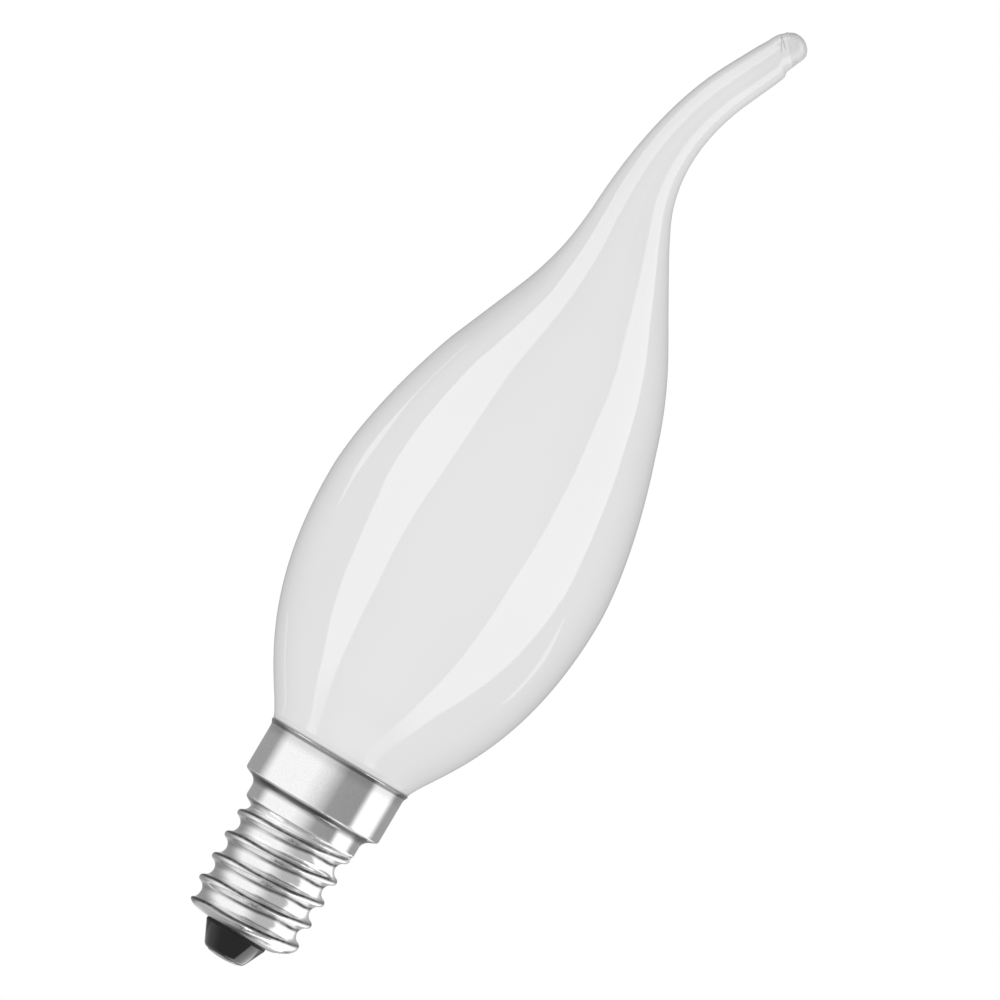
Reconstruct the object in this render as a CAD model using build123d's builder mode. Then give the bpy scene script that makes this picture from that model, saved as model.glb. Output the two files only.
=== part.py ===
from build123d import *
import math
import os

# A bent-tip candle bulb with an opal glass and a small Edison screw cap, in millimetres and degrees.
# The lamp's axis is Z, the cap is down, and the tail bends in the XZ plane. The origin is the
# lowest point of the centre contact.

# Centre contact
contact_diameter = 3.9
contact_dome_rise = 0.22
contact_rim = 0.08
contact_stem_diameter = 1.6
contact_rivet_diameter = 2.8
contact_rivet_thickness = 0.35

# Cap insulator
insulator_base_diameter = 4.9
insulator_base_round = 0.5
insulator_top_diameter = 7.8
insulator_height = 3.0
insulator_flange_thickness = 1.4
insulator_shadow_gap = 0.1
insulator_clearance = 0.05

# Screw cap shell
cap_wall = 0.3
foot_land = 0.15
foot_slope = 10.0
foot_round = 1.8
thread_diameter = 13.8
thread_root_diameter = 11.8
thread_pitch = 2.822
thread_lead_in = 2.02
threaded_length = 13.05
run_out_length = 1.05
neck_diameter = 14.0
neck_step = 0.04
neck_length = 1.85
shoulder_round = 1.1
shoulder_slope = 25.0
collar_diameter = 17.25
collar_corner_round = 0.4
collar_length = 5.65
lip_diameter = 17.8
lip_length = 0.68

# Glass neck, seated in the collar
glass_clearance = 0.1
glass_neck_gap = 0.5
glass_neck_round = 0.6

# Glass outline, as radius over distance along the centre line from the cap's lip
mouth_flare = 18.0
mouth_pull = 3.2
belly_diameter = 35.0
belly_height = 27.55
belly_pull_below = 17.7
belly_pull_above = 4.7
hip_diameter = 18.24
hip_height = 57.4
hip_slope = 26.1
hip_pull_below = 15.2
hip_pull_above = 17.5
tail_end_diameter = 4.4
tail_end_slope = 3.7
tail_end_pull = 13.9
outline_stations = 30

# Tail's centre line, which leans to -X, bends over to +X and runs straight to the bead
tail_start_height = 47.2
lean_radius = 91.3
lean_angle = 11.1
lean_straight = 4.2
bend_radius = 30.5
bend_angle = 36.9
tail_straight = 6.7
tail_end_slant = 18.0
tail_end_round = 0.9
bead_diameter = 3.5
bead_stand_off = 0.8

# Heights that follow from the sizes above
insulator_base_height = contact_dome_rise + contact_rim
foot_height = insulator_base_height + insulator_height + insulator_shadow_gap
thread_root_radius = thread_root_diameter / 2
thread_crest_radius = thread_diameter / 2
neck_radius = neck_diameter / 2
collar_radius = collar_diameter / 2
lip_radius = lip_diameter / 2
lip_spread = (lip_radius - collar_radius) / lip_length
foot_hole_radius = insulator_top_diameter / 2 - insulator_shadow_gap
foot_land_radius = foot_hole_radius + foot_land
foot_rise = math.tan(math.radians(foot_slope))
run_out_height = foot_height + threaded_length
neck_height = run_out_height + run_out_length
shoulder_height = neck_height + neck_length
collar_height = shoulder_height + (collar_radius - neck_radius) * math.tan(math.radians(shoulder_slope))
lip_height = collar_height + collar_length
cap_height = lip_height + lip_length

# Points round each level of the thread, and levels in a turn and in the foot
thread_points = 16
thread_levels = 10
foot_levels = 8
wall_samples = 12


def foot_level(radius):
    """Height of the cap's foot, on the outside, at a radius."""
    return foot_height + (radius - foot_land_radius) * foot_rise


# The thread's crest and root are equal arcs that meet tangentially on the flank
thread_depth = thread_crest_radius - thread_root_radius
thread_rounding = (thread_pitch**2 / 4 + thread_depth**2) / (4 * thread_depth)
foot_half_turn = math.radians(90 - foot_slope) / 2
foot_tangent = foot_round * math.tan(foot_half_turn) * math.cos(math.radians(foot_slope))
foot_centre_radius = thread_root_radius - foot_round
foot_centre_height = foot_level(thread_root_radius) + foot_round * math.tan(foot_half_turn)


def thread_rise(angle, height):
    """How far a right-hand thread stands out of its root."""
    turns = (height - foot_height - thread_lead_in) / thread_pitch - angle / 360
    off_crest = abs(turns - round(turns)) * thread_pitch
    if off_crest < thread_pitch / 4:
        return thread_depth - thread_rounding + math.sqrt(thread_rounding**2 - off_crest**2)
    off_root = thread_pitch / 2 - off_crest
    return thread_rounding - math.sqrt(thread_rounding**2 - off_root**2)


def outer_radius(angle, height):
    """The cap's outside from its foot, through the thread, to where the thread runs out under the neck."""
    if height < foot_level(thread_root_radius - foot_tangent):
        root = foot_land_radius + (height - foot_height) / foot_rise
    elif height < foot_centre_height:
        root = foot_centre_radius + math.sqrt(foot_round**2 - (foot_centre_height - height) ** 2)
    else:
        root = thread_root_radius
    step = min(max((height - run_out_height) / run_out_length, 0), 1)
    run_out = step * step * (3 - 2 * step)
    return root + run_out * (neck_radius - neck_step - root) + (1 - run_out) * thread_rise(angle, height)


def inner_radius(angle, height):
    """The cap's inside, set in from the outside by the wall's thickness."""
    radii = []
    for sample in range(-wall_samples, wall_samples + 1):
        turn = math.radians(90 * sample / wall_samples)
        level = max(height + cap_wall * math.sin(turn), foot_height)
        radii.append(outer_radius(angle, level) - cap_wall * math.cos(turn))
    return min(radii)


def threaded_solid(bottom, top, radius_at):
    """Solid from the foot to the neck, through a round outline at each level."""
    foot_span = foot_centre_height - bottom
    levels = [bottom + foot_span * (step / foot_levels) ** 2 for step in range(foot_levels)]
    steps = math.ceil((top - foot_centre_height) * thread_levels / thread_pitch)
    levels += [foot_centre_height + (top - foot_centre_height) * step / steps for step in range(steps + 1)]
    shares = [point / thread_points for point in range(thread_points + 1)]
    with BuildPart() as solid:
        for level in levels:
            with BuildSketch(Plane.XY.offset(level)):
                with BuildLine():
                    angles = [360 * share for share in shares[:-1]]
                    points = [Vector(radius_at(angle, level), 0).rotate(Axis.Z, angle) for angle in angles]
                    add(Edge.make_spline(points, periodic=True, parameters=shares))
                make_face()
        loft()
    return solid.part


def collar_solid(inset):
    """The neck, collar and lip, carried on past the lip so that the mouth can be cut level."""
    mouth_overrun = 4 * cap_wall
    mouth_radius = lip_radius + mouth_overrun * lip_spread
    mouth_height = cap_height + mouth_overrun
    with BuildPart() as solid:
        with BuildSketch(Plane.XZ):
            with BuildLine():
                FilletPolyline(
                    (neck_radius, neck_height),
                    (neck_radius, shoulder_height),
                    (collar_radius, collar_height),
                    (collar_radius, lip_height),
                    (mouth_radius, mouth_height),
                    radius=[shoulder_round, collar_corner_round, lip_length],
                )
                Polyline((mouth_radius, mouth_height), (0, mouth_height), (0, neck_height), (neck_radius, neck_height))
            make_face()
            mirror(about=Plane.YZ)
            if inset > 0:
                offset(amount=-inset)
            Rectangle(2 * mouth_radius, 3 * mouth_height, align=(Align.MIN, Align.CENTER), mode=Mode.INTERSECT)
        revolve()
    return solid.part


# Screw cap: one pressed shell with a rolled thread, a neck, a collar and a flared lip
thread_outside = threaded_solid(foot_height, neck_height, outer_radius)
thread_inside = threaded_solid(foot_height + cap_wall, neck_height + cap_wall, inner_radius)
cap_outside = thread_outside + collar_solid(0)
cap_inside = thread_inside + collar_solid(cap_wall)
with BuildPart() as screw_cap:
    add(cap_outside)
    add(cap_inside, mode=Mode.SUBTRACT)
    with BuildSketch(Plane.XY.offset(foot_height)):
        Circle(foot_hole_radius)
    extrude(amount=2 * cap_wall, mode=Mode.SUBTRACT)
    split(bisect_by=Plane.XY.offset(cap_height), keep=Keep.BOTTOM)

# Cap insulator: a moulded cone that grips the foot of the shell from both sides
insulator_waist_radius = foot_hole_radius - insulator_clearance
flange_radius = thread_root_radius - foot_tangent - insulator_clearance
flange_lift = cap_wall / math.cos(math.radians(foot_slope)) + insulator_clearance
flange_height = foot_level(flange_radius) + flange_lift + insulator_flange_thickness
stem_hole_radius = contact_stem_diameter / 2 + insulator_clearance
with BuildPart() as cap_insulator:
    with BuildSketch(Plane.XZ):
        with BuildLine():
            FilletPolyline(
                (stem_hole_radius, insulator_base_height),
                (insulator_base_diameter / 2, insulator_base_height),
                (insulator_top_diameter / 2, insulator_base_height + insulator_height),
                radius=insulator_base_round,
            )
            Polyline(
                (insulator_top_diameter / 2, insulator_base_height + insulator_height),
                (insulator_waist_radius, insulator_base_height + insulator_height),
                (insulator_waist_radius, foot_level(insulator_waist_radius) + flange_lift),
                (flange_radius, foot_level(flange_radius) + flange_lift),
                (flange_radius, flange_height),
                (stem_hole_radius, flange_height),
                (stem_hole_radius, insulator_base_height),
            )
        make_face()
    revolve()

# Centre contact: a domed disc on a stem that is riveted over inside the cap
stem_radius = contact_stem_diameter / 2
rivet_radius = contact_rivet_diameter / 2
rivet_height = flange_height + contact_rivet_thickness
with BuildPart() as centre_contact:
    with BuildSketch(Plane.XZ):
        with BuildLine():
            dome = TangentArc((0, 0), (contact_diameter / 2, contact_dome_rise), tangent=(1, 0))
            Polyline(
                dome @ 1,
                (contact_diameter / 2, insulator_base_height),
                (stem_radius, insulator_base_height),
                (stem_radius, flange_height),
                (rivet_radius, flange_height),
                (rivet_radius, rivet_height),
                (0, rivet_height),
                (0, 0),
            )
        make_face()
    revolve()

# Glass bulb: one blown piece, sealed and opal, so it is one solid with its neck, tail and bead
with BuildLine(Plane.XZ) as centre_line:
    rise = Line((0, cap_height), (0, cap_height + tail_start_height))
    lean = JernArc(rise @ 1, (0, 1), lean_radius, lean_angle)
    lean_way = (-math.sin(math.radians(lean_angle)), math.cos(math.radians(lean_angle)))
    slant = PolarLine(lean @ 1, lean_straight, direction=lean_way)
    bend = JernArc(slant @ 1, lean_way, bend_radius, -bend_angle)
    final_lean = math.radians(bend_angle - lean_angle)
    final_way = (math.sin(final_lean), math.cos(final_lean))
    PolarLine(bend @ 1, tail_straight, direction=final_way)
glass_path = centre_line.wire()
glass_length = glass_path.length


def pull(start, length, angle):
    """Handle of an outline span: a step along Z that swells outwards by an angle."""
    turn = math.radians(angle)
    return (start[0] + length * math.sin(turn), start[1] + length * math.cos(turn))


mouth = (lip_radius, 0)
belly = (belly_diameter / 2, belly_height)
hip = (hip_diameter / 2, hip_height)
tail_end = (tail_end_diameter / 2, glass_length)
with BuildLine(Plane.XZ) as outline:
    Bezier(mouth, pull(mouth, mouth_pull, mouth_flare), pull(belly, -belly_pull_below, 0), belly)
    Bezier(belly, pull(belly, belly_pull_above, 0), pull(hip, -hip_pull_below, -hip_slope), hip)
    Bezier(
        hip,
        pull(hip, hip_pull_above, -hip_slope),
        pull(tail_end, -tail_end_pull, -tail_end_slope),
        tail_end,
    )

# The glass neck goes in through the narrowest part of the cap's mouth
lip_wall = cap_wall * math.hypot(1, lip_spread)
mouth_inner_radius = min(collar_radius - cap_wall, lip_radius - lip_wall)
glass_neck_radius = mouth_inner_radius - glass_clearance
glass_neck_height = collar_height + cap_wall + glass_neck_gap
glass_outline = outline.wire()
bead_centre = glass_path @ 1 + (glass_path % 1) * bead_stand_off
tail_end_plane = Plane(glass_path @ 1, x_dir=(0, 1, 0), z_dir=glass_path % 1)
tail_end_radius = tail_end_diameter / 2
with BuildPart() as glass_bulb:
    for station in range(outline_stations):
        place = glass_outline @ (station / outline_stations)
        share = place.Z / glass_length
        with BuildSketch(Plane(glass_path @ share, x_dir=(0, 1, 0), z_dir=glass_path % share)):
            Circle(place.X)
    with BuildSketch(tail_end_plane.rotated((tail_end_slant, 0, 0))):
        Ellipse(tail_end_radius, tail_end_radius / math.cos(math.radians(tail_end_slant)))
    loft()
    fillet(glass_bulb.faces().sort_by(Axis.Z)[-1].edges(), tail_end_round)
    with Locations(bead_centre):
        Sphere(bead_diameter / 2)
    with BuildSketch(Plane.XY.offset(cap_height)):
        Circle(glass_neck_radius)
    extrude(amount=glass_neck_height - cap_height)
    fillet(glass_bulb.faces().sort_by(Axis.Z)[0].edges(), glass_neck_round)

# Finished pieces, one file each
pieces = {
    "centre_contact": centre_contact,
    "cap_insulator": cap_insulator,
    "screw_cap": screw_cap,
    "glass_bulb": glass_bulb,
}
os.makedirs("parts", exist_ok=True)
for name, piece in pieces.items():
    piece.part.label = name
    export_step(piece.part, f"parts/{name}.step")
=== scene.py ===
"""A bent-tip candle bulb: opal glass with a drawn tail and bead, on a rolled metal screw cap."""

import math

import bmesh
import bpy
from mathutils import Matrix, Vector
from mathutils.geometry import interpolate_bezier


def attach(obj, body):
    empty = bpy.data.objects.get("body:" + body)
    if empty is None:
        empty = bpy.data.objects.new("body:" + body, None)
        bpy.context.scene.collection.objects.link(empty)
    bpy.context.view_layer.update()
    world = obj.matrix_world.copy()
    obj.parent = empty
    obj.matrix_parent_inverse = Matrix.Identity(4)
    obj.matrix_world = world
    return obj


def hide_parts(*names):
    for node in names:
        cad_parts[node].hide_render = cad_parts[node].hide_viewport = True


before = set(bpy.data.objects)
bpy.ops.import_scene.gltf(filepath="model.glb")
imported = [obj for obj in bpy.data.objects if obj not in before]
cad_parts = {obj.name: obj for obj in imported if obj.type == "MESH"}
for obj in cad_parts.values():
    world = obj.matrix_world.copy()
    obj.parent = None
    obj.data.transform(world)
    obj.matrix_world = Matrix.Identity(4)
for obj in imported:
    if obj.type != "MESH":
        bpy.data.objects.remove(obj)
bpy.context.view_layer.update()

MM = 0.001
ROOT = "root"
UP = Vector((0, 0, 1))
FULL_TURN = 2 * math.pi
TURN_DEGREES = 360

# Cap sizes, in millimetres and radians, with heights from the lowest point of the centre contact
CONTACT_RADIUS = 1.95
CONTACT_DOME = 0.22
CONTACT_RIM = 0.08
INSULATOR_BASE = CONTACT_DOME + CONTACT_RIM
INSULATOR_BASE_RADIUS = 2.45
INSULATOR_BASE_ROUND = 0.45
INSULATOR_HEIGHT = 2.82
INSULATOR_TOP = INSULATOR_BASE + INSULATOR_HEIGHT
INSULATOR_TOP_RADIUS = 3.81
INSULATOR_TOP_ROUND = 0.08
INSULATOR_WAIST = 3.78
SHADOW_GAP = 0.28
FOOT = INSULATOR_TOP + SHADOW_GAP
FOOT_HOLE = 3.8
FOOT_LAND_WIDTH = 0.15
FOOT_LAND = FOOT_HOLE + FOOT_LAND_WIDTH
FOOT_SLOPE = math.radians(10)
FOOT_RISE = math.tan(FOOT_SLOPE)
FOOT_ROUND = 1.8
FOOT_TURN = FULL_TURN / 4 - FOOT_SLOPE
FOOT_CUT = FOOT_ROUND * math.tan(FOOT_TURN / 2)
CAP_WALL = 0.3
THREAD_ROOT = 5.9
THREAD_CREST = 6.9
THREAD_CREST_ROUND = 0.42
THREAD_PITCH = 2.822
THREAD_LEAD_IN = 2.02
THREAD_START_REACH = 1.75
THREAD_START_SPAN = math.radians(150)
THREAD_START_FADE = math.radians(90)
THREAD_LENGTH = 13.05
RUN_OUT = FOOT + THREAD_LENGTH
RUN_OUT_LENGTH = 1.05
NECK = RUN_OUT + RUN_OUT_LENGTH
NECK_RADIUS = 7.0
NECK_LENGTH = 1.85
NECK_FILLET = 0.7
SHOULDER = NECK + NECK_LENGTH
SHOULDER_SLOPE = math.radians(25)
COLLAR_RADIUS = 8.625
COLLAR_ROUND = 0.25
COLLAR = SHOULDER + (COLLAR_RADIUS - NECK_RADIUS) * math.tan(SHOULDER_SLOPE)
COLLAR_LENGTH = 5.65
LIP = COLLAR + COLLAR_LENGTH
LIP_FILLET = 0.25
LIP_RADIUS = 8.9
LIP_ROLL = 0.14
LIP_LENGTH = 0.68
CAP_TOP = LIP + LIP_LENGTH

# Glass sizes along its centre line from the lip, in millimetres and degrees, with pulls as handle lengths
GLASS_NECK_RADIUS = 8.225
GLASS_NECK_DEPTH = 5.2
GLASS_SEAT = 0.1
MOUTH_FLARE = 18.0
MOUTH_PULL = 3.2
BELLY_RADIUS = 17.5
BELLY = 27.55
BELLY_PULL_BELOW = 17.7
BELLY_PULL_ABOVE = 4.7
HIP_RADIUS = 9.12
HIP = 57.4
HIP_SLOPE = 26.1
HIP_PULL_BELOW = 15.2
HIP_PULL_ABOVE = 17.5
TAIL_RADIUS = 2.2
TAIL_SLOPE = 3.7
TAIL_PULL = 13.9

# Spans of the glass's centre line: a straight run, or a bend's radius, negative to the left, and its angle
SPANS = (
    (47.2, 0.0, 0.0),
    (0.0, -91.3, 11.1),
    (4.2, 0.0, 0.0),
    (0.0, 30.5, 36.9),
    (6.7, 0.0, 0.0),
)

# Sealed tip, in millimetres from the bead's centre, with slopes in degrees
BEAD_STAND_OFF = 0.8
TIP_ROUND_START = -2.4
TIP_PULL = 1.1
JOINT = -0.4
JOINT_RADIUS = 1.84
JOINT_SLOPE = 8
JOINT_PULL = 0.5
JOINT_LAP = 0.02
CORE_RISE = 0.45
BEAD_RADIUS = 1.78
BEAD_BELLY = 0.15
BEAD_TOP = 1.64
BEAD_SIDE_SLOPE = 5
BEAD_SIDE_PULL = 0.2
TIP_SLANT = 0.42
SLANT_RISE = (-3.0, 2.3)
SLANT_FALL = (-0.2, 0.9)
TIP_LEAN = 0.13
LEAN_RISE = (-2.3, 1.0)
LEAN_FALL = (-1.3, 1.0)

# Wrinkles in the sealed tip, drawn only as lines of painted shade, each a height and a slant
WRINKLES = ((-0.81, 0.32), (-1.5, 0.68))
WRINKLE_WIDTH = 0.11

# Handles of roundings and shallow domes, as shares of the way to a corner, of a radius or of a rise
ROUND_HANDLE = 0.55
DOME_EDGE_OUT = 0.8
DOME_EDGE_RISE = 0.6
CORE_FLAT = 0.4
CONTACT_FLAT = 0.5

# Points along the outlines
FOOT_POINTS = 24
COLLAR_POINTS = 8
INSULATOR_POINTS = 6
CONTACT_POINTS = 12
SWELL_POINTS = 40
WAIST_POINTS = 44
TAIL_POINTS = 56
TIP_POINTS = 16
CORE_POINTS = 10
BEAD_SIDE_POINTS = 6
BEAD_DOME_POINTS = 20

# Rings in one turn of the thread, and turns below its start that are cut off
THREAD_RINGS = 30
THREAD_SPARE_TURNS = 2

# Segments round the axis
THREAD_SEGMENTS = 192
GLASS_SEGMENTS = 128
BEAD_SEGMENTS = 96
INSULATOR_SEGMENTS = 128
CONTACT_SEGMENTS = 96
PANEL_SEGMENTS = 180

# Distances that weld points, in a mesh's own unit, and the angle from which an edge is sharp
TURNED_WELD = 0.0001
SHELL_WELD = 0.001
CREASE = math.radians(40)

# Looks of the pieces, in millimetres, or in turns on the thread's flanks, with depths in metres
# A grain has a scale, a detail and, where it is drawn out, a stretch. A ramp goes from where it is 0 to
# where it is 1, and a band has its middle and its half width. A level, roughness or shade that varies has
# its start and what is added to it, and tones are a dark and a light grey.
OPAL_CLOUDS = (60, 3.0)
OPAL_SKIN = (110, 1.0)
OPAL_SKIN_DEPTH = 0.00004
OPAL_LEVEL = (0.805, 0.03)
OPAL_ROUGHNESS = (0.03, 0.03)
# Painted shade: lines for the tip's wrinkles, and a painted shadow line where the glass meets the lip
WRINKLE_SHADE = 0.3
WRINKLE_INNER_RAMP = (-0.1, -0.5)
WRINKLE_OUTER_RAMP = (-1.95, -1.6)
SEAT_SHADE = 0.3
SEAT_RAMP = (CAP_TOP + 0.24, CAP_TOP + 0.1)
SEALED_SHADE = 0.04
SEALED_RAMP = (-9, -2)
GLASS_IOR = 1.5

BEAD_SWIRL = (900, 2.0)
BEAD_SWIRL_DEPTH = 0.00002
BEAD_TONES = (0.74, 0.84)
BEAD_ROUGHNESS = (0.2, 0.1)
BEAD_CLEARNESS = 0.2

METAL_BRIGHTNESS = 0.9
METAL_GRAIN = (6000, 2.0)
METAL_ROLLING = (6000, 2.0, (0.02, 0.02, 1))
# Noise that makes the painted shade lines under the crests and on the flanks patchy
SHADE_PATCHINESS = (1500, 2.0)
METAL_DEPTH = 0.000004
METAL_ROUGHNESS = (0.12, 0.08)
GRAIN_ROUGHNESS = 0.06
GRAIN_LEVEL = (0.9, 0.2)
# Painted shade and painted reflections on the cap's metal, as lines, streaks, patches and darker bands
THREAD_RAMP = (RUN_OUT + 0.7, RUN_OUT + 0.1)
CREST_RAMP = (FOOT + 0.5, FOOT + 0.9)
CREST_BAND = (0.02, 0.12)
CREST_SHADE = (0.75, 0.4)
CREST_DRIFTS = ((0.07, (-1, -5)), (0.06, (2.5, 6)))
# Painted reflection: a soft dark streak on each lower flank, stronger to the right
STREAK_BAND = (-0.32, 0.14)
STREAK_SHADE = (0.75, 0.35)
STREAK_DRIFT = 0.05
STREAK_DRIFT_BAND = (2.6, 2.4)
STREAK_RETURN = 0.04
STREAK_RETURN_RAMP = (4, 5.5)
STREAK_LEFT = 0.25
STREAK_GAINS = ((0.6, (-3.4, -0.6)), (0.2, (3, 5)))
STREAK_END_RAMP = (FOOT + 1, FOOT + 0.7)
STREAK_END_SIDE_RAMP = (3.4, 4.8)
# Painted reflection: a speckled grey patch on the front of each crest
PATCH_SPECKLE = (7000, 2.0)
PATCH_SPECKLE_RAMP = (0.42, 0.6)
PATCH_BAND = (-0.17, 0.15)
PATCH_SIDE_BAND = (0.2, 1.7)
PATCH_SHADE = (0.3, 0.7)
FOLD_BAND = (SHOULDER + 0.38, 0.52)
FOLD_SHADE = 0.95
UNDER_FOLD_BAND = (SHOULDER + 0.02, 0.6)
UNDER_FOLD_SHADE = 0.55
LIP_RAMP = (LIP + 0.03, LIP + 0.24)
LIP_EDGE_RAMP = (LIP + 0.4, LIP + 0.6)
LIP_SHADE = (0.62, -0.24)
COLLAR_RAMP = (LIP - 1.3, LIP)
COLLAR_SHADE = 0.24
FOOT_RAMP = (FOOT + 1.3, FOOT + 0.6)
FOOT_SHADE = 0.45
RUN_OUT_BAND = (RUN_OUT + 0.67, 0.35)
RUN_OUT_SHADE = 0.45

MOULDING_FLOW = (1500, 2.0, (1, 1, 0.2))
MOULDING_DEPTH = 0.000003
MOULDING_TONES = (0.006, 0.012)
MOULDING_ROUGHNESS = (0.06, 0.06)
MOULDING_EDGE_ROUGHNESS = 0.7
MOULDING_EDGE_RAMP = (INSULATOR_TOP - 0.12, INSULATOR_TOP)
MOULDING_IOR = 1.5

TINNING = (1800, 3.0)
TINNING_DEPTH = 0.00003
TINNING_TONES = (0.3, 0.6)
TINNING_ROUGHNESS = (0.2, 0.2)

FLOOR_TONE = 0.9
FLOOR_GLOW = 0.35

# Places of a Mix node's colour sockets
MIX_DARK = 6
MIX_LIGHT = 7
MIX_RESULT = 2

# Photograph's view, in metres, with the camera's sensor in millimetres
VIEW_LEAN = math.radians(30.57)
VIEW_DISTANCE = 3.0
VIEW_WIDTH = 0.1129
VIEW_CENTRE = Vector((0.00075, 0, 0.06056))
CAMERA_SENSOR = 36
CAMERA_REACH = 100

# Studio, in metres, with panels as degrees round the lamp from the camera's side and brightness
FLOOR = -1.2
FLOOR_SIZE = 6.0
LAMP_SIZE = 0.5
LAMP_DISTANCE = 0.6
LAMP_AZIMUTH = 50
LAMP_POWER = 0.95
AMBIENT = 0.7
PANEL_PEAK = 4.0
DARK = 0.35
PLAIN = 1.0
STRIP = 2.3
SLIT = 1.2
FAINT_SLIT = 0.5
GLASS_PANELS = (
    (-180, DARK),
    (-145, DARK),
    (-126, 0.55),
    (-104, PLAIN),
    (104, PLAIN),
    (126, 0.55),
    (145, DARK),
    (180, DARK),
)
COLLAR_PANELS = (
    (-180, PLAIN),
    (-150, PLAIN),
    (-115, DARK),
    (-62, DARK),
    (-49, PLAIN),
    (-12, PLAIN),
    (0, 0.77),
    (13, 0.33),
    (36, 0.31),
    (42, 1.2),
    (63, 1.2),
    (73, DARK),
    (115, DARK),
    (150, PLAIN),
    (180, PLAIN),
)
THREAD_PANELS = (
    (-180, PLAIN),
    (-160, PLAIN),
    (-140, 0.3),
    (-110, 0.3),
    (-96, 0.42),
    (-82, 0.7),
    (-68, PLAIN),
    (-12, PLAIN),
    (0, 0.77),
    (16, 0.5),
    (53, 0.5),
    (58, 1.2),
    (118, 1.2),
    (132, 0.45),
    (165, 0.45),
    (180, PLAIN),
)
LOW_PANELS = (
    (-180, 0.5),
    (-150, 0.7),
    (-85, 0.7),
    (-52, 0.38),
    (69, 0.36),
    (71, 3.0),
    (138, 3.0),
    (148, 1.0),
    (160, 0.6),
    (180, 0.5),
)
TAIL_FLAGS = (
    (-180, AMBIENT),
    (-160, AMBIENT),
    (-140, 0.48),
    (-70, 0.48),
    (-50, AMBIENT),
    (180, AMBIENT),
)

# Card of light beside the tail, from one angle to an edge that slants, in degrees and metres
CARD_RADIUS = 0.02
CARD_LOW = 0.1005
CARD_HIGH = 0.134
CARD_FAR = -60
CARD_EDGE = -43.3
CARD_SLANT = 909
CARD_SOFTNESS = 1

# Outlines of the rounds of panels about the lamp's axis, as radius and height in metres
GLASS_TENT = ((0.25, FLOOR), (0.25, 0.75))
COLLAR_TENT = ((0.0095, 0.0192), (0.0095, 0.0266))
NECK_TENT = ((0.0078, 0.0174), (0.0078, 0.0192))
THREAD_TENT = ((0.015, -0.0025), (0.015, 0.0155), (0.009, 0.0174))
LOW_TENT = ((0, -0.04), (0.015, -0.04), (0.015, -0.0025))
CARD_TENT = ((CARD_RADIUS, CARD_LOW), (CARD_RADIUS, CARD_HIGH))
FLAG_TENT = ((0.03, 0.096), (0.03, 0.15))

# Lights in the glass's panels: the edge at the lower angle, the edge at the higher one, and a brightness.
# An edge has its angle and then its bends, each a turn in degrees between two heights in metres.
SOFTBOXES = (
    (
        (-74, (-18, -0.01, 0.21), (-12, -0.13, -0.3)),
        (-43.8, (-28, 0, -0.45), (-18, 0.13, 0.35)),
        STRIP,
    ),
    (
        (43.6, (14, 0.03, 0.33)),
        (66.5, (21.5, -0.19, 0.08), (18, 0.05, 0.33)),
        STRIP,
    ),
    (
        (-112, (-7, 0.03, 0.1), (-2, 0.1, 0.18)),
        (-110.3, (-8.3, 0.09, 0.135), (-3, 0.135, 0.2), (-3, 0.045, 0.02)),
        SLIT,
    ),
    (
        (107, (-7.5, -0.01, 0.06)),
        (111, (-12, 0.01, 0.06), (-5, -0.02, -0.055)),
        SLIT,
    ),
    (
        (-134.5, (14, -0.09, -0.2)),
        (-131.5, (14, -0.09, -0.2), (-4, -0.045, -0.02)),
        FAINT_SLIT,
    ),
)

# Shading of the glass's panels, as shares of the peak over ramps of height in metres or of angle in degrees
STRIP_SOFTNESS = 0.5
STRIP_LEVEL = (0.35, 0.65)
STRIP_RAMP = (-0.4, -0.12)
LOW_GLOWS = ((0.2, (0.05, -0.3)), (0.35, (-0.3, -0.7)))
LEFT_SHADE = 0.08
LEFT_SHADE_RAMP = (0.08, 0.2)
LEFT_SHADE_TURN = (-100, -125)


class Value:
    """One socket of a look, which Python's operators turn into Math nodes."""

    def __init__(self, look, socket):
        self.look = look
        self.socket = socket

    def __add__(self, other):
        return self.look.maths("ADD", self, other)

    def __radd__(self, other):
        return self.look.maths("ADD", other, self)

    def __sub__(self, other):
        return self.look.maths("SUBTRACT", self, other)

    def __rsub__(self, other):
        return self.look.maths("SUBTRACT", other, self)

    def __mul__(self, other):
        return self.look.maths("MULTIPLY", self, other)

    def __rmul__(self, other):
        return self.look.maths("MULTIPLY", other, self)


def grey(level):
    return (level, level, level, 1)


def metres(millimetres):
    return [length * MM for length in millimetres]


def swing(level, share):
    """A level's start, with what is added to it as a share goes from 0 to 1."""
    start, added = level
    return start + added * share


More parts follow.
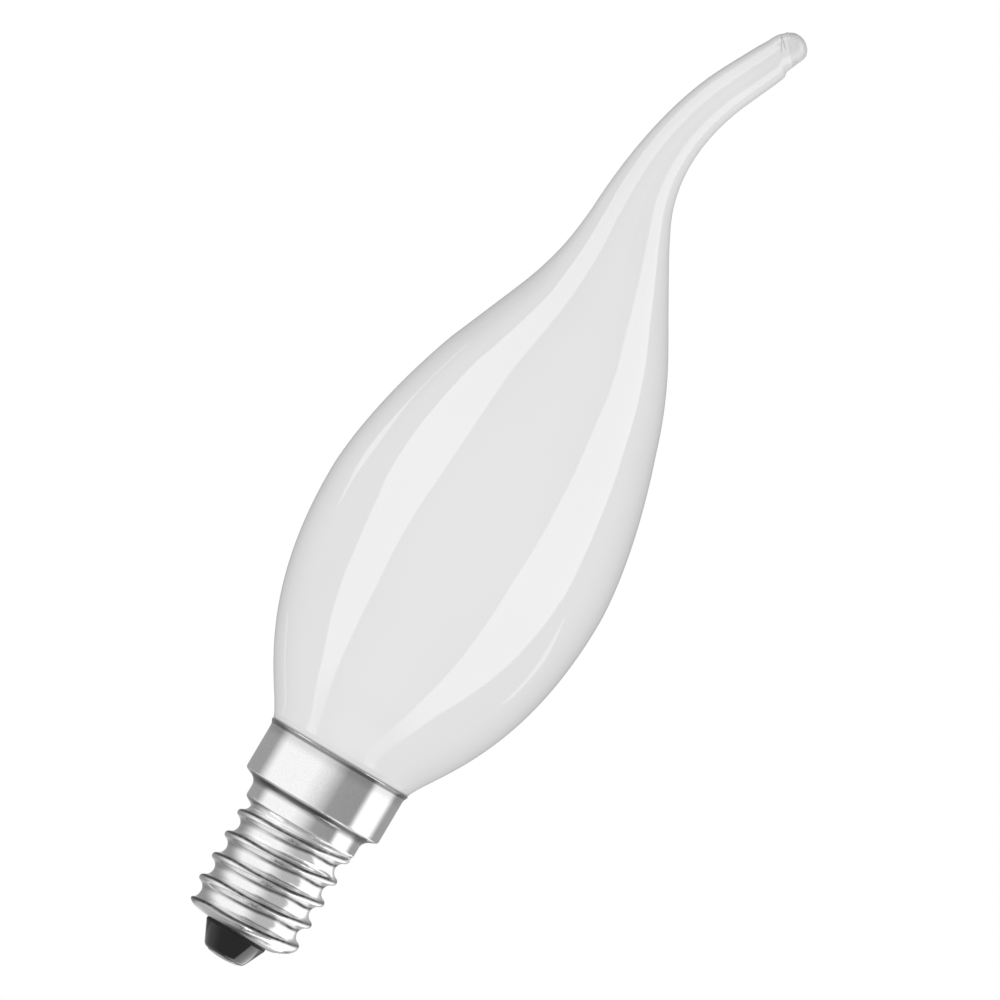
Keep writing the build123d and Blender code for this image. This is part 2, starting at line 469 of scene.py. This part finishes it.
class Look:
    """The nodes that make the look of a material or of the world."""

    def __init__(self, owner):
        owner.use_nodes = True
        self.owner = owner
        self.tree = owner.node_tree
        self.tree.nodes.clear()

    def node(self, kind, settings=None, sockets=None, output=0):
        """Adds a node with its settings and its sockets' values or links, and gives its output, if any."""
        made = self.tree.nodes.new(kind)
        for key, setting in (settings or {}).items():
            if key == "stops":
                for place, _ in setting[1:-1]:
                    made.color_ramp.elements.new(place)
                for element, (place, level) in zip(made.color_ramp.elements, setting):
                    element.position = place
                    element.color = grey(level)
            else:
                setattr(made, key, setting)
        for key, value in (sockets or {}).items():
            if isinstance(value, Value):
                self.tree.links.new(value.socket, made.inputs[key])
            else:
                made.inputs[key].default_value = value
        if len(made.outputs) == 0:
            return None
        return Value(self, made.outputs[output])

    def finished(self, shader, kind="ShaderNodeOutputMaterial"):
        self.node(kind, sockets={"Surface": shader})
        return self.owner

    def surface(self, sockets):
        """Finishes a material with one shader all over."""
        return self.finished(self.node("ShaderNodeBsdfPrincipled", sockets=sockets))

    def glowing(self, colour):
        """Finishes a material as panels of light, with colours as shares of the brightest one."""
        sockets = {"Color": colour, "Strength": PANEL_PEAK}
        return self.finished(self.node("ShaderNodeEmission", sockets=sockets))

    def maths(self, operation, first, second=0.0):
        return self.node("ShaderNodeMath", {"operation": operation}, {0: first, 1: second})

    def place(self):
        return self.node("ShaderNodeTexCoord", output="Object")

    def axis(self, letter):
        return self.node("ShaderNodeSeparateXYZ", sockets={0: self.place()}, output=letter)

    def along(self, direction, start):
        """Distance from a starting point along a direction."""
        sockets = {0: self.place(), 1: direction}
        reach = self.node("ShaderNodeVectorMath", {"operation": "DOT_PRODUCT"}, sockets, "Value")
        return reach - direction.dot(start)

    def azimuth(self, first, second):
        """Turns about the lamp's axis, from -0.5 to 0.5."""
        return self.maths("ARCTAN2", first, second) * (1 / FULL_TURN)

    def front_azimuth(self):
        """Turns about the lamp's axis from the camera's side, from -0.5 to 0.5."""
        return self.azimuth(self.axis("X"), 0 - self.axis("Y"))

    def panel_levels(self, azimuth, panels):
        """Brightness of panels round the lamp, as shares of the brightest one."""
        stops = [(angle / TURN_DEGREES + 0.5, level / PANEL_PEAK) for angle, level in panels]
        return self.node("ShaderNodeValToRGB", {"stops": stops}, {"Fac": azimuth + 0.5})

    def noise(self, scale, detail, stretch=(1, 1, 1)):
        """Soft noise with a grain of about 1 / scale metres, drawn out along an axis by a small factor."""
        spot = self.node("ShaderNodeMapping", {}, {"Vector": self.place(), "Scale": stretch})
        return self.node("ShaderNodeTexNoise", {}, {"Vector": spot, "Scale": scale, "Detail": detail})

    def step(self, value, low, high):
        """Goes smoothly from 0 at low to 1 at high, and low may be the larger one."""
        sockets = {"Value": value, "From Min": low, "From Max": high}
        return self.node("ShaderNodeMapRange", {"interpolation_type": "SMOOTHSTEP"}, sockets)

    def band(self, value, middle, half):
        """Is 1 in the middle of a band and fades to 0 at its two sides."""
        return self.step(self.maths("ABSOLUTE", value - middle), half, 0)

    def between(self, value, low, high, softness):
        """Is 1 between two edges and fades to 0 across each of them."""
        risen = self.step(value, low - softness, low + softness)
        return risen * self.step(value, high + softness, high - softness)

    def grey_mix(self, factor, dark=0.0, light=1.0):
        """A grey that goes from dark to light with a factor."""
        sockets = {"Factor": factor, MIX_DARK: grey(dark), MIX_LIGHT: grey(light)}
        return self.node("ShaderNodeMix", {"data_type": "RGBA"}, sockets, MIX_RESULT)

    def bump(self, height, distance):
        return self.node("ShaderNodeBump", {}, {"Height": height, "Strength": 1.0, "Distance": distance})

    def seen(self):
        """Is 1 for rays that show things, also in metal and glass, and 0 for rays that light them."""
        rays = ("Is Camera Ray", "Is Glossy Ray", "Is Transmission Ray")
        camera, glossy, clear = [self.node("ShaderNodeLightPath", output=ray) for ray in rays]
        return self.maths("MAXIMUM", self.maths("MAXIMUM", camera, glossy), clear)


def material_look(name):
    return Look(bpy.data.materials.new(name))


def opal_finish():
    """White opal glass, faintly cloudy under a blown skin, with painted shade lines for the wrinkles where
    its tail was sealed and a painted shadow line where it meets the lip.
    """
    look = material_look("opal_glass")
    clouds = look.noise(*OPAL_CLOUDS)
    skin = look.noise(*OPAL_SKIN)
    bead_centre, heading = centre_line(BEAD)
    tip = bead_centre * MM
    ahead = Vector((math.sin(heading), 0, math.cos(heading)))
    across = sideways(heading)
    side = look.along(across, tip)
    # Painted shade: dark lines on the sealed tip's left front, where it is wrinkled
    wrinkled = look.step(side, *metres(WRINKLE_INNER_RAMP)) * look.step(side, *metres(WRINKLE_OUTER_RAMP))
    painted_wrinkle_shade = wrinkled * sum(
        look.band(look.along(ahead + across * slant, tip), height * MM, WRINKLE_WIDTH * MM)
        for height, slant in WRINKLES
    )
    # Painted shadow: a thin dark line where the glass sits on the lip
    seat_shadow = look.step(look.axis("Z"), *metres(SEAT_RAMP))
    sealed_end = look.step(look.along(ahead, tip), *metres(SEALED_RAMP))
    tone = (
        swing(OPAL_LEVEL, clouds)
        - WRINKLE_SHADE * painted_wrinkle_shade
        - SEAT_SHADE * seat_shadow
        - SEALED_SHADE * sealed_end
    )
    return look.surface(
        {
            "Base Color": look.grey_mix(tone),
            "Roughness": swing(OPAL_ROUGHNESS, clouds),
            "IOR": GLASS_IOR,
            "Normal": look.bump(skin, OPAL_SKIN_DEPTH),
        }
    )


def bead_finish():
    """Clear, slightly grey glass of the sealed tip."""
    look = material_look("bead_glass")
    swirl = look.noise(*BEAD_SWIRL)
    return look.surface(
        {
            "Base Color": look.grey_mix(swirl, *BEAD_TONES),
            "Roughness": swing(BEAD_ROUGHNESS, swirl),
            "IOR": GLASS_IOR,
            "Transmission Weight": BEAD_CLEARNESS,
            "Normal": look.bump(swirl, BEAD_SWIRL_DEPTH),
        }
    )


def cap_finish():
    """Bright satin metal, rolled round and round, with painted shade lines on its crests, painted
    reflections on its flanks, and painted shade in its folds and at its lip, collar and foot.
    """
    look = material_look("cap_metal")
    grain = look.noise(*METAL_GRAIN)
    rolled = look.noise(*METAL_ROLLING)
    # Noise that makes the painted shade lines and streaks patchy
    shade_patchiness = look.noise(*SHADE_PATCHINESS)
    level = look.axis("Z") * (1 / MM)
    side = look.axis("X") * (1 / MM)
    azimuth = look.azimuth(look.axis("Y"), look.axis("X"))
    turns = (level - (FOOT + THREAD_LEAD_IN)) * (1 / THREAD_PITCH) - azimuth
    flank = look.maths("FRACT", turns + 0.5) - 0.5
    threaded = look.step(level, *THREAD_RAMP)
    crested = threaded * look.step(level, *CREST_RAMP)
    crest_drift = sum(drift * look.step(side, *ramp) for drift, ramp in CREST_DRIFTS)
    # Painted shade: a dark line just under each crest, where the groove's reflection is dark
    crest_shade_line = look.band(flank - crest_drift, *CREST_BAND) * swing(CREST_SHADE, shade_patchiness)
    # Painted reflection: a soft dark streak on each lower flank
    drifted = STREAK_DRIFT * look.band(side, *STREAK_DRIFT_BAND)
    streak_drift = drifted - STREAK_RETURN * look.step(side, *STREAK_RETURN_RAMP)
    gained = STREAK_LEFT + sum(gain * look.step(side, *ramp) for gain, ramp in STREAK_GAINS)
    ended = look.step(level, *STREAK_END_RAMP) * look.step(side, *STREAK_END_SIDE_RAMP)
    streaked = gained * (1 - ended)
    flank_shade_streak = look.band(flank - streak_drift, *STREAK_BAND) * streaked * swing(STREAK_SHADE, shade_patchiness)
    # Painted reflection: a darker, speckled patch on the front of each crest, right of the middle
    speckle = look.step(look.noise(*PATCH_SPECKLE), *PATCH_SPECKLE_RAMP)
    front_patch = look.band(flank, *PATCH_BAND) * look.band(side, *PATCH_SIDE_BAND)
    front_patch_shade = front_patch * swing(PATCH_SHADE, speckle)
    lip_shade = swing(LIP_SHADE, look.step(level, *LIP_EDGE_RAMP))
    shades = (
        crested * crest_shade_line,
        threaded * flank_shade_streak,
        crested * front_patch_shade,
        FOLD_SHADE * look.band(level, *FOLD_BAND),
        UNDER_FOLD_SHADE * look.band(level, *UNDER_FOLD_BAND),
        lip_shade * look.step(level, *LIP_RAMP),
        COLLAR_SHADE * look.step(level, *COLLAR_RAMP),
        FOOT_SHADE * look.step(level, *FOOT_RAMP),
        RUN_OUT_SHADE * look.band(level, *RUN_OUT_BAND),
    )
    light = METAL_BRIGHTNESS
    for shade in shades:
        light = light * (1 - shade)
    return look.surface(
        {
            "Base Color": look.grey_mix(light * swing(GRAIN_LEVEL, grain)),
            "Metallic": 1.0,
            "Roughness": swing(METAL_ROUGHNESS, rolled) + GRAIN_ROUGHNESS * grain,
            "Normal": look.bump(grain + rolled, METAL_DEPTH),
        }
    )


def insulator_finish():
    """Glossy black moulding."""
    look = material_look("insulator_black")
    flow = look.noise(*MOULDING_FLOW)
    top_edge = look.step(look.axis("Z"), *metres(MOULDING_EDGE_RAMP))
    return look.surface(
        {
            "Base Color": look.grey_mix(flow, *MOULDING_TONES),
            "Roughness": swing(MOULDING_ROUGHNESS, flow) + MOULDING_EDGE_ROUGHNESS * top_edge,
            "IOR": MOULDING_IOR,
            "Normal": look.bump(flow, MOULDING_DEPTH),
        }
    )


def contact_finish():
    """Bright tinned contact."""
    look = material_look("contact_metal")
    tinning = look.noise(*TINNING)
    return look.surface(
        {
            "Base Color": look.grey_mix(tinning, *TINNING_TONES),
            "Metallic": 1.0,
            "Roughness": swing(TINNING_ROUGHNESS, tinning),
            "Normal": look.bump(tinning, TINNING_DEPTH),
        }
    )


def floor_finish():
    """White floor that still takes the lamp's shadow."""
    look = material_look("studio_floor")
    return look.surface(
        {
            "Base Color": grey(FLOOR_TONE),
            "Roughness": 1.0,
            "Specular IOR Level": 0.0,
            "Emission Color": look.grey_mix(look.seen()),
            "Emission Strength": FLOOR_GLOW,
        }
    )


def panel_finish(name, panels):
    """Studio panels round the lamp, each stop an azimuth from the camera's side and a brightness."""
    look = material_look(name)
    return look.glowing(look.panel_levels(look.front_azimuth(), panels))


def softbox_finish(name, panels):
    """Plain panels with strips and slits of light in them.

    The panels are brighter towards the floor, and the strips and slits fade there.
    """
    look = material_look(name)
    azimuth = look.front_azimuth()
    angle = azimuth * TURN_DEGREES
    height = look.axis("Z")

    def bent(edge):
        return edge[0] + sum(bend * look.step(height, low, high) for bend, low, high in edge[1:])

    level = look.node("ShaderNodeSeparateColor", {}, {0: look.panel_levels(azimuth, panels)})
    for glow, ramp in LOW_GLOWS:
        level = level + glow * look.step(height, *ramp)
    level = level - LEFT_SHADE * look.step(height, *LEFT_SHADE_RAMP) * look.step(angle, *LEFT_SHADE_TURN)
    fade = swing(STRIP_LEVEL, look.step(height, *STRIP_RAMP))
    for low_edge, high_edge, brightness in SOFTBOXES:
        lit = look.between(angle, bent(low_edge), bent(high_edge), STRIP_SOFTNESS)
        level = level + fade * lit * (brightness / PANEL_PEAK)
    return look.glowing(look.grey_mix(level))


def card_finish(name):
    """A card of light near the tail, which widens the left strip there, in panels that are clear."""
    look = material_look(name)
    angle = look.front_azimuth() * TURN_DEGREES
    near = CARD_EDGE + CARD_SLANT * (look.axis("Z") - CARD_LOW)
    lit = look.between(angle, CARD_FAR, near, CARD_SOFTNESS)
    clear = look.node("ShaderNodeBsdfTransparent")
    light = look.node("ShaderNodeEmission", {}, {"Strength": PLAIN + STRIP})
    return look.finished(look.node("ShaderNodeMixShader", {}, {0: lit, 1: clear, 2: light}))


def smooth(share):
    """Goes smoothly from 0 to 1."""
    share = min(max(share, 0), 1)
    return share * share * (3 - 2 * share)


def hump(level, rise, fall):
    """Goes smoothly from 0 to 1 over a rise and back to 0 over a fall, each with its start and length."""
    return smooth((level - rise[0]) / rise[1]) * (1 - smooth((level - fall[0]) / fall[1]))


def rounded_line(corners, cuts, steps):
    """Points of a line whose inner corners are rounded, each from a cut before it to a cut after it."""
    points = [Vector(corners[0])]
    for before, corner, after, cut in zip(corners, corners[1:], corners[2:], cuts):
        corner = Vector(corner)
        start = corner + (Vector(before) - corner).normalized() * cut
        end = corner + (Vector(after) - corner).normalized() * cut
        points += interpolate_bezier(
            start, start.lerp(corner, ROUND_HANDLE), end.lerp(corner, ROUND_HANDLE), end, steps
        )
    points.append(Vector(corners[-1]))
    return points


def swept(outline, segments, climb=0.0):
    """A mesh swept once round Z from (radius, height) points, which may climb as it goes round."""
    bm = bmesh.new()
    verts = [bm.verts.new((radius, 0, height)) for radius, height in outline]
    edges = [bm.edges.new(pair) for pair in zip(verts, verts[1:])]
    bmesh.ops.spin(
        bm,
        geom=verts + edges,
        cent=(0, 0, 0),
        axis=UP,
        dvec=(0, 0, climb / segments),
        angle=FULL_TURN,
        steps=segments,
        use_merge=climb == 0,
    )
    return bm


def turned(outline, segments):
    """A mesh turned about Z from (radius, height) points, with its seam and its poles closed."""
    bm = swept(outline, segments)
    bmesh.ops.remove_doubles(bm, verts=bm.verts[:], dist=TURNED_WELD)
    bmesh.ops.recalc_face_normals(bm, faces=bm.faces[:])
    return bm


def add_object(name, data):
    obj = bpy.data.objects.new(name, data)
    bpy.context.scene.collection.objects.link(obj)
    return obj


def add_mesh(name, bm, material):
    mesh = bpy.data.meshes.new(name)
    bm.to_mesh(mesh)
    bm.free()
    mesh.materials.append(material)
    return add_object(name, mesh)


def add_piece(name, bm, material, node):
    """Finishes a mesh made in millimetres as a piece of the lamp."""
    bmesh.ops.scale(bm, vec=(MM, MM, MM), verts=bm.verts[:])
    for face in bm.faces:
        face.smooth = True
    for edge in bm.edges:
        edge.smooth = len(edge.link_faces) == 2 and edge.calc_face_angle() < CREASE
    piece = add_mesh(name, bm, material)
    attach(piece, ROOT)
    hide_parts(node)
    return piece


def span_length(span):
    run, radius, angle = span
    return run + abs(radius) * math.radians(angle)


TAIL_END = sum(span_length(span) for span in SPANS)
BEAD = TAIL_END + BEAD_STAND_OFF


def centre_line(distance):
    """Place and heading of the glass's centre line. The heading turns from +Z towards +X."""
    across, height, heading = 0.0, CAP_TOP, 0.0
    left = distance
    for span in SPANS:
        step = left if span is SPANS[-1] else min(left, span_length(span))
        radius = span[1]
        if radius == 0:
            across += step * math.sin(heading)
            height += step * math.cos(heading)
        else:
            turned_to = heading + step / radius
            across += radius * (math.cos(heading) - math.cos(turned_to))
            height += radius * (math.sin(turned_to) - math.sin(heading))
            heading = turned_to
        left -= step
        if left <= 0:
            break
    return Vector((across, 0, height)), heading


def sideways(heading):
    """Direction across the centre line, to the right of its heading."""
    return Vector((math.cos(heading), 0, -math.sin(heading)))


def bend_along_tail(bm):
    """Slants the sealed tip of an upright glass mesh, then carries the mesh on to the bent centre line."""
    for vert in bm.verts:
        level = vert.co.z - BEAD
        slant = TIP_SLANT * hump(level, SLANT_RISE, SLANT_FALL)
        lean = TIP_LEAN * hump(level, LEAN_RISE, LEAN_FALL)
        place, heading = centre_line(vert.co.z - vert.co.x * slant)
        vert.co = place + sideways(heading) * (vert.co.x - lean) + Vector((0, vert.co.y, 0))


def outline_step(start, length, angle):
    """Handle of an outline span: a step along the centre line that swells outwards by an angle."""
    turn = math.radians(angle)
    return Vector((start[0] + length * math.sin(turn), start[1] + length * math.cos(turn)))


def core_outline(lift):
    """Rounded end of the opal glass inside the bead, from its edge to its top."""
    base = BEAD + JOINT + lift
    return interpolate_bezier(
        (JOINT_RADIUS, base),
        (DOME_EDGE_OUT * JOINT_RADIUS, base + DOME_EDGE_RISE * CORE_RISE),
        (CORE_FLAT * JOINT_RADIUS, base + CORE_RISE),
        (0, base + CORE_RISE),
        CORE_POINTS,
    )


def make_glass(material):
    """Opal bulb: its neck in the collar, its swelling, waist and tail, and its end inside the bead."""
    mouth = (LIP_RADIUS - GLASS_SEAT, 0)
    belly = (BELLY_RADIUS, BELLY)
    hip = (HIP_RADIUS, HIP)
    end = (TAIL_RADIUS, TAIL_END)
    joint = (JOINT_RADIUS, BEAD + JOINT)
    neck = [(0, -GLASS_NECK_DEPTH), (GLASS_NECK_RADIUS, -GLASS_NECK_DEPTH), (GLASS_NECK_RADIUS, 0)]
    swell = interpolate_bezier(
        mouth,
        outline_step(mouth, MOUTH_PULL, MOUTH_FLARE),
        outline_step(belly, -BELLY_PULL_BELOW, 0),
        belly,
        SWELL_POINTS,
    )
    waist = interpolate_bezier(
        belly,
        outline_step(belly, BELLY_PULL_ABOVE, 0),
        outline_step(hip, -HIP_PULL_BELOW, -HIP_SLOPE),
        hip,
        WAIST_POINTS,
    )
    drawn_out = interpolate_bezier(
        hip,
        outline_step(hip, HIP_PULL_ABOVE, -HIP_SLOPE),
        outline_step(end, -TAIL_PULL, -TAIL_SLOPE),
        end,
        TAIL_POINTS,
    )
    tail = [point for point in drawn_out if point[1] < BEAD + TIP_ROUND_START]
    tip = interpolate_bezier(
        tail[-1],
        outline_step(tail[-1], TIP_PULL, -TAIL_SLOPE),
        outline_step(joint, -JOINT_PULL, -JOINT_SLOPE),
        joint,
        TIP_POINTS,
    )
    bm = turned(neck + swell + waist[1:] + tail[1:] + tip[1:] + core_outline(0)[1:], GLASS_SEGMENTS)
    bend_along_tail(bm)
    add_piece("opal_bulb", bm, material, "glass_bulb")


def make_bead(material):
    """Clear bead, hollowed underneath where it sits on the end of the opal glass."""
    joint = (JOINT_RADIUS, BEAD + JOINT - JOINT_LAP)
    belly = (BEAD_RADIUS, BEAD + BEAD_BELLY)
    side = interpolate_bezier(
        joint,
        outline_step(joint, BEAD_SIDE_PULL, -BEAD_SIDE_SLOPE),
        outline_step(belly, -BEAD_SIDE_PULL, 0),
        belly,
        BEAD_SIDE_POINTS,
    )
    dome = interpolate_bezier(
        belly,
        outline_step(belly, ROUND_HANDLE * (BEAD_TOP - BEAD_BELLY), 0),
        (ROUND_HANDLE * BEAD_RADIUS, BEAD + BEAD_TOP),
        (0, BEAD + BEAD_TOP),
        BEAD_DOME_POINTS,
    )
    bm = turned(core_outline(-JOINT_LAP)[::-1] + side[1:] + dome[1:], BEAD_SEGMENTS)
    bend_along_tail(bm)
    add_piece("tail_bead", bm, material, "glass_bulb")


def thread_rise(angle, height):
    """How far the right-hand thread stands out of its root, with a tight crest and a wide groove.

    Below its first turn it falls away slowly, so that it runs into the foot.
    """
    depth = THREAD_CREST - THREAD_ROOT
    both_rounds = (THREAD_PITCH**2 / 4 + depth**2) / (2 * depth)
    groove_round = both_rounds - THREAD_CREST_ROUND
    turns = (height - FOOT - THREAD_LEAD_IN) / THREAD_PITCH - angle / FULL_TURN
    off_crest = abs(turns - round(turns)) * THREAD_PITCH
    if off_crest < THREAD_PITCH / 2 * THREAD_CREST_ROUND / both_rounds:
        rise = depth - THREAD_CREST_ROUND + math.sqrt(THREAD_CREST_ROUND**2 - off_crest**2)
    else:
        off_root = THREAD_PITCH / 2 - off_crest
        rise = groove_round - math.sqrt(groove_round**2 - off_root**2)
    if turns > 0:
        return rise
    spread = smooth((THREAD_START_SPAN - abs(angle)) / THREAD_START_FADE)
    return max(rise, depth * spread * (1 - (turns * THREAD_PITCH / THREAD_START_REACH) ** 2))


def set_round(vert, radius, height):
    """Moves a point of the shell to a radius and a height, adding the thread where it has not run out."""
    angle = math.atan2(vert.co.y, vert.co.x)
    run_out = smooth((height - RUN_OUT) / RUN_OUT_LENGTH)
    radius += run_out * (NECK_RADIUS - radius)
    radius += (1 - run_out) * thread_rise(angle, height)
    vert.co = (radius * math.cos(angle), radius * math.sin(angle), height)


def rim_of(bm, height):
    """Open edges of a mesh at a height."""
    edges = [edge for edge in bm.edges if edge.is_boundary]
    return [edge for edge in edges if all(abs(vert.co.z - height) < SHELL_WELD for vert in edge.verts)]


def grow_rim(bm, rim_height, outline, threaded):
    """Carries the rim of a round mesh on, ring by ring, through the points of an outline."""
    rim = rim_of(bm, rim_height)
    for radius, height in outline:
        made = bmesh.ops.extrude_edge_only(bm, edges=rim)["geom"]
        for vert in made:
            if not isinstance(vert, bmesh.types.BMVert):
                continue
            if threaded:
                set_round(vert, radius, height)
            else:
                vert.co = vert.co.xy.normalized().to_3d() * radius + UP * height
        rim = [edge for edge in made if isinstance(edge, bmesh.types.BMEdge) and edge.is_boundary]


def make_cap(material):
    """Screw shell: the thread follows its own helix, and the foot and the collar grow from its two rims."""
    foot_corner = FOOT + (THREAD_ROOT - FOOT_LAND) * FOOT_RISE
    thread_start = foot_corner + FOOT_CUT
    foot = rounded_line(
        [(FOOT_LAND, FOOT), (THREAD_ROOT, foot_corner), (THREAD_ROOT, thread_start + FOOT_CUT)],
        [FOOT_CUT],
        FOOT_POINTS,
    )
    collar = rounded_line(
        [
            (NECK_RADIUS, NECK),
            (NECK_RADIUS, SHOULDER),
            (COLLAR_RADIUS, COLLAR),
            (COLLAR_RADIUS, LIP),
            (LIP_RADIUS, CAP_TOP - LIP_ROLL),
            (LIP_RADIUS - LIP_ROLL, CAP_TOP),
        ],
        [NECK_FILLET, COLLAR_ROUND, LIP_FILLET, LIP_ROLL / 2],
        COLLAR_POINTS,
    )
    lowest = FOOT + THREAD_LEAD_IN - THREAD_SPARE_TURNS * THREAD_PITCH
    rings = math.ceil((NECK - lowest) * THREAD_RINGS / THREAD_PITCH)
    levels = [lowest + THREAD_PITCH * ring / THREAD_RINGS for ring in range(rings + 1)]
    bm = swept([(THREAD_ROOT, level) for level in levels], THREAD_SEGMENTS, THREAD_PITCH)
    bmesh.ops.remove_doubles(bm, verts=bm.verts[:], dist=SHELL_WELD)
    for height, outwards in ((thread_start, -UP), (NECK, UP)):
        bmesh.ops.bisect_plane(
            bm,
            geom=bm.verts[:] + bm.edges[:] + bm.faces[:],
            dist=SHELL_WELD,
            plane_co=(0, 0, height),
            plane_no=outwards,
            clear_outer=True,
        )
    for vert in bm.verts:
        set_round(vert, THREAD_ROOT, vert.co.z)
    # The last two points of the foot's outline lie on the thread's lower rim and above it
    below_rim = foot[:-2]
    grow_rim(bm, thread_start, below_rim[::-1], True)
    grow_rim(bm, FOOT, [(FOOT_HOLE, FOOT)], False)
    grow_rim(bm, NECK, collar[1:], False)
    bmesh.ops.recalc_face_normals(bm, faces=bm.faces[:])
    piece = add_piece("screw_shell", bm, material, "screw_cap")
    wall = piece.modifiers.new("wall", "SOLIDIFY")
    wall.thickness = CAP_WALL * MM
    wall.offset = -1
    shading = piece.modifiers.new("even_shading", "WEIGHTED_NORMAL")
    shading.keep_sharp = True


def make_insulator(material):
    """Insulator cone, with its waist up through the hole in the foot."""
    cone = rounded_line(
        [
            (0, INSULATOR_BASE),
            (INSULATOR_BASE_RADIUS, INSULATOR_BASE),
            (INSULATOR_TOP_RADIUS, INSULATOR_TOP),
            (INSULATOR_WAIST, INSULATOR_TOP),
        ],
        [INSULATOR_BASE_ROUND, INSULATOR_TOP_ROUND],
        INSULATOR_POINTS,
    )
    waist = [(INSULATOR_WAIST, FOOT + CAP_WALL), (0, FOOT + CAP_WALL)]
    bm = turned(cone + waist, INSULATOR_SEGMENTS)
    add_piece("insulator_cone", bm, material, "cap_insulator")


def make_contact(material):
    """Contact disc, domed downwards, with its flat back against the insulator."""
    dome = interpolate_bezier(
        (0, 0),
        (CONTACT_FLAT * CONTACT_RADIUS, 0),
        (DOME_EDGE_OUT * CONTACT_RADIUS, DOME_EDGE_RISE * CONTACT_DOME),
        (CONTACT_RADIUS, CONTACT_DOME),
        CONTACT_POINTS,
    )
    back = [(CONTACT_RADIUS, INSULATOR_BASE), (0, INSULATOR_BASE)]
    bm = turned(dome + back, CONTACT_SEGMENTS)
    add_piece("contact_disc", bm, material, "centre_contact")


def point_at(obj, place, aim, up):
    """Turns a lamp or a camera at a place towards an aim."""
    back = (place - aim).normalized()
    right = up.cross(back).normalized()
    turn = Matrix((right, back.cross(right), back)).transposed()
    obj.matrix_world = Matrix.Translation(place) @ turn.to_4x4()


def add_camera():
    """Camera at the photograph's viewing angle, leaning as the lamp does there."""
    camera = bpy.data.cameras.new("camera")
    camera.sensor_width = CAMERA_SENSOR
    camera.lens = CAMERA_SENSOR * VIEW_DISTANCE / VIEW_WIDTH
    camera.clip_end = CAMERA_REACH
    obj = add_object("camera", camera)
    up = Vector((-math.sin(VIEW_LEAN), 0, math.cos(VIEW_LEAN)))
    point_at(obj, VIEW_CENTRE + Vector((0, -VIEW_DISTANCE, 0)), VIEW_CENTRE, up)
    bpy.context.scene.camera = obj


def add_lamp(name, azimuth):
    """A broad soft lamp in front of the bulb. It gives plain light, and the panels give the reflections."""
    light = bpy.data.lights.new(name, "AREA")
    light.shape = "SQUARE"
    light.size = LAMP_SIZE
    light.energy = LAMP_POWER
    obj = add_object(name, light)
    obj.visible_glossy = False
    turn = math.radians(azimuth)
    place = VIEW_CENTRE + LAMP_DISTANCE * Vector((math.sin(turn), -math.cos(turn), 0))
    point_at(obj, place, VIEW_CENTRE, UP)


def add_floor():
    bm = bmesh.new()
    bmesh.ops.create_grid(bm, x_segments=1, y_segments=1, size=FLOOR_SIZE)
    bmesh.ops.translate(bm, vec=(0, 0, FLOOR), verts=bm.verts[:])
    add_mesh("floor", bm, floor_finish())


def add_panels(name, outline, material, reflected=True):
    """A round of studio panels about the lamp's axis, seen only in reflections or only as soft light."""
    tent = add_mesh(name, turned(outline, PANEL_SEGMENTS), material)
    tent.visible_camera = False
    tent.visible_diffuse = not reflected
    tent.visible_glossy = reflected
    tent.visible_transmission = False
    tent.visible_shadow = False


def add_world():
    """White all round where it is seen, and plain soft light on the lamp."""
    look = Look(bpy.data.worlds.new("studio"))
    level = AMBIENT + (1 - AMBIENT) * look.seen()
    shader = look.node("ShaderNodeBackground", {}, {"Color": grey(1), "Strength": level})
    bpy.context.scene.world = look.finished(shader, "ShaderNodeOutputWorld")


make_glass(opal_finish())
make_bead(bead_finish())
make_cap(cap_finish())
make_insulator(insulator_finish())
make_contact(contact_finish())
add_camera()
add_lamp("left_lamp", -LAMP_AZIMUTH)
add_lamp("right_lamp", LAMP_AZIMUTH)
add_floor()
collar_light = panel_finish("collar_light", COLLAR_PANELS)
add_panels("glass_panels", GLASS_TENT, softbox_finish("glass_light", GLASS_PANELS))
add_panels("collar_panels", COLLAR_TENT, collar_light)
add_panels("neck_panels", NECK_TENT, collar_light)
add_panels("thread_panels", THREAD_TENT, panel_finish("thread_light", THREAD_PANELS))
add_panels("low_panels", LOW_TENT, panel_finish("low_light", LOW_PANELS))
add_panels("tail_card", CARD_TENT, card_finish("tail_light"))
add_panels("tail_flags", FLAG_TENT, panel_finish("tail_shade", TAIL_FLAGS), reflected=False)
add_world()

scene = bpy.context.scene
scene.view_settings.view_transform = "Standard"
